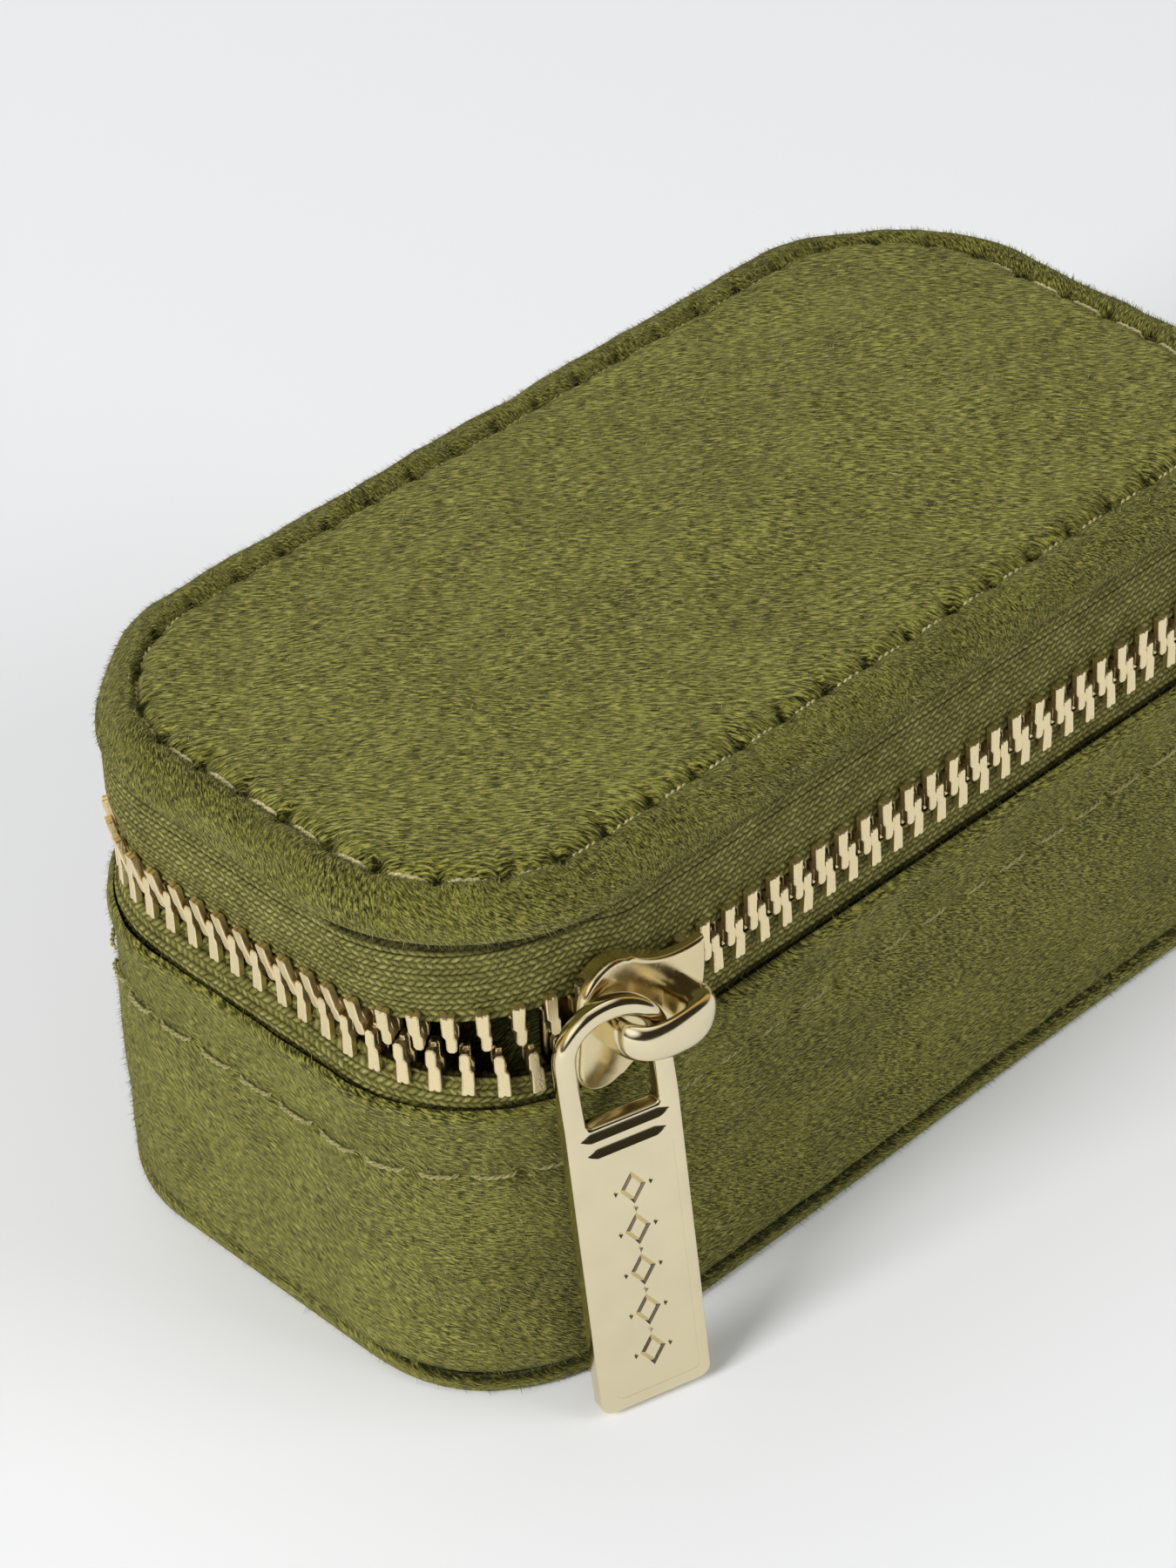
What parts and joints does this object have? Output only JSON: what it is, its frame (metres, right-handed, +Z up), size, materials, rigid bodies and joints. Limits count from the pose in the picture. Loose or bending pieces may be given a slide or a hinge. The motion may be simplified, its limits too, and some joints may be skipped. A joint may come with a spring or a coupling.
{
  "type": "travel jewelry case",
  "caption": "Small zip-around jewellery case with a padded velour lid on a fabric hinge, a metal zip with hanging pull, and ring rolls and compartments inside.",
  "frame": {"origin": "middle of the underside of the base, on the surface it stands on", "axes": "+Z up, +X along the case's length, -Y out of the long side that carries the zip slider"},
  "size_m": [0.107, 0.0628, 0.0517],
  "materials": {
    "velour": "short directional pile",
    "lining_velour": "short pile",
    "board": "raw grey board",
    "foam": "open foam",
    "zip_tape": "woven tape",
    "zip_metal": "polished",
    "thread": "twisted thread",
    "gold_metal": "mirror polished plating"
  },
  "bodies": {
    "base": {"bottom_cover": "velour", "bottom_board": "board", "base_wall_board": "board", "base_cover": "velour", "base_edge_roll": "velour", "base_stitching": "thread", "base_lining": "lining_velour", "floor_pad": "lining_velour", "ring_block": "foam", "ring_roll_1": "lining_velour", "ring_roll_2": "lining_velour", "ring_roll_3": "lining_velour", "ring_roll_4": "lining_velour", "ring_roll_5": "lining_velour", "divider_cross": "lining_velour", "divider_long": "lining_velour", "zip_tape_lower": "zip_tape", "zip_teeth_lower": "zip_metal", "zip_end_stops": "zip_metal", "back_strip_lower": "velour", "back_strip_fold": "velour", "hinge_lining": "lining_velour"},
    "lid": {"back_strip_upper": "velour", "lid_wall_board": "board", "lid_top_board": "board", "lid_padding": "foam", "lid_cover": "velour", "lid_rim": "velour", "lid_stitching": "thread", "lid_lining": "lining_velour", "zip_tape_upper": "zip_tape", "zip_teeth_upper": "zip_metal"},
    "slider": {"slider_body": "gold_metal", "slider_crown": "gold_metal"},
    "pull": {"pull_tab": "gold_metal"}
  },
  "joints": [
    {"name": "lid_hinge", "type": "hinge", "parent": "base", "child": "lid", "pos_m": [0, 0.0267, 0.0363], "axis": [-1, 0, 0], "range_deg": [0, 110], "deforming": ["back_strip_fold", "hinge_lining"]},
    {"name": "slider_travel", "type": "slide", "parent": "base", "child": "slider", "axis": [1, 0, 0], "range_m": [0, 0.06], "deforming": ["zip_teeth_upper", "zip_teeth_lower"]},
    {"name": "pull_swivel", "type": "hinge", "parent": "slider", "child": "pull", "pos_m": [-0.03565, -0.03094, 0.03638], "axis": [-0.0115, 0.098, 0.9951], "range_deg": [0, 100]}
  ]
}
